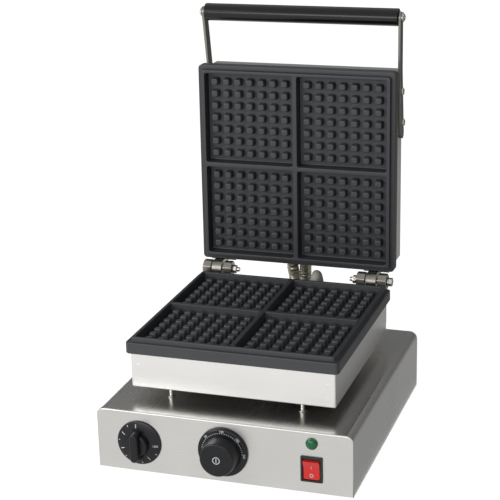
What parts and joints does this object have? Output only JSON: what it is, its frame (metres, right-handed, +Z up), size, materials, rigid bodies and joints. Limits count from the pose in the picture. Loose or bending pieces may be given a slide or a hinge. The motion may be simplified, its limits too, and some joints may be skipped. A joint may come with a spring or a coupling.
{
  "type": "waffle baker",
  "caption": "Countertop waffle baker: stainless base with dial controls, fixed lower grid plate on studs and a hinged upper grid plate with a bar handle.",
  "frame": {"origin": "middle of the bottom face of the bounding box, on the worktop", "axes": "+Z up, -Y out of the control panel towards the user, +X to the right of the user"},
  "size_m": [0.31, 0.393, 0.5],
  "materials": {
    "bar_steel": "flat steel bar, dull",
    "black_plastic": "dark grey moulded nylon",
    "control_body": "pale phenolic and plated steel control",
    "copper_tube": "copper capillary tube",
    "dark_steel": "cast steel, oil dark with bright worn edges",
    "grip_black": "black glossy phenolic tube",
    "heater_sheath": "heat-browned element sheath",
    "hose_steel": "ribbed galvanised steel hose",
    "knob_black": "black moulded phenolic, satin",
    "lamp_green": "green translucent lens",
    "nonstick_casting": "dark grey non-stick coating on a fine casting",
    "porcelain": "unglazed white steatite",
    "rocker_red": "glossy translucent red moulding",
    "rubber": "black moulded rubber",
    "sleeve_grey": "woven glass sleeving with grey varnish",
    "stainless": "brushed stainless sheet",
    "zinc_steel": "bright zinc-plated steel"
  },
  "bodies": {
    "base": {"base_wrap": "stainless", "bottom_plate": "stainless", "cable_gland": "black_plastic", "conduit_deck_fitting_left": "zinc_steel", "conduit_deck_fitting_right": "zinc_steel", "conduit_left": "hose_steel", "conduit_right": "hose_steel", "foot_front_left": "rubber", "foot_front_right": "rubber", "foot_rear_left": "rubber", "foot_rear_right": "rubber", "front_panel": "stainless", "hinge_bolt_left": "zinc_steel", "hinge_bolt_right": "zinc_steel", "hinge_bracket_left": "dark_steel", "hinge_bracket_right": "dark_steel", "hinge_nut_left": "zinc_steel", "hinge_nut_right": "zinc_steel", "lamp_body": "black_plastic", "lamp_lens": "lamp_green", "lead_sleeve": "sleeve_grey", "lead_sleeve_fitting": "zinc_steel", "lower_heater": "heater_sheath", "lower_housing": "stainless", "lower_plate": "nonstick_casting", "lower_reflector": "zinc_steel", "rear_panel": "stainless", "stud_front_left": "zinc_steel", "stud_front_right": "zinc_steel", "stud_rear_left": "zinc_steel", "stud_rear_right": "zinc_steel", "switch_body": "black_plastic", "terminal_block": "porcelain", "thermostat_body": "control_body", "thermostat_capillary": "copper_tube", "timer_body": "control_body", "wiring_tube": "zinc_steel"},
    "lid": {"bar_bolt_high_left": "zinc_steel", "bar_bolt_high_right": "zinc_steel", "bar_bolt_low_left": "zinc_steel", "bar_bolt_low_right": "zinc_steel", "conduit_lid_fitting_left": "zinc_steel", "conduit_lid_fitting_right": "zinc_steel", "grip": "grip_black", "grip_nut_left": "zinc_steel", "grip_nut_right": "zinc_steel", "grip_rod": "zinc_steel", "handle_bar_left": "bar_steel", "handle_bar_right": "bar_steel", "hinge_leaf_left": "dark_steel", "hinge_leaf_right": "dark_steel", "upper_heater": "heater_sheath", "upper_housing": "stainless", "upper_plate": "nonstick_casting", "upper_reflector": "zinc_steel"},
    "timer": {"timer_knob": "knob_black", "timer_spindle": "zinc_steel"},
    "thermostat": {"thermostat_knob": "knob_black", "thermostat_spindle": "zinc_steel"},
    "rocker": {"switch_rocker": "rocker_red"}
  },
  "joints": [
    {"name": "lid_hinge", "type": "hinge", "parent": "base", "child": "lid", "pos_m": [0, 0.13126, 0.156], "axis": [1, 0, 0], "range_deg": [0, 90.6], "deforming": ["conduit_left", "conduit_right"]},
    {"name": "timer_turn", "type": "hinge", "parent": "base", "child": "timer", "pos_m": [-0.102, -0.17153, 0.041], "axis": [0, 1, 0], "range_deg": [0, 300]},
    {"name": "thermostat_turn", "type": "hinge", "parent": "base", "child": "thermostat", "pos_m": [0.0012, -0.17153, 0.0422], "axis": [0, 1, 0], "range_deg": [0, 280]},
    {"name": "rocker_tilt", "type": "hinge", "parent": "base", "child": "rocker", "pos_m": [0.1065, -0.16803, 0.0338], "axis": [1, 0, 0], "range_deg": [-18, 0]}
  ]
}
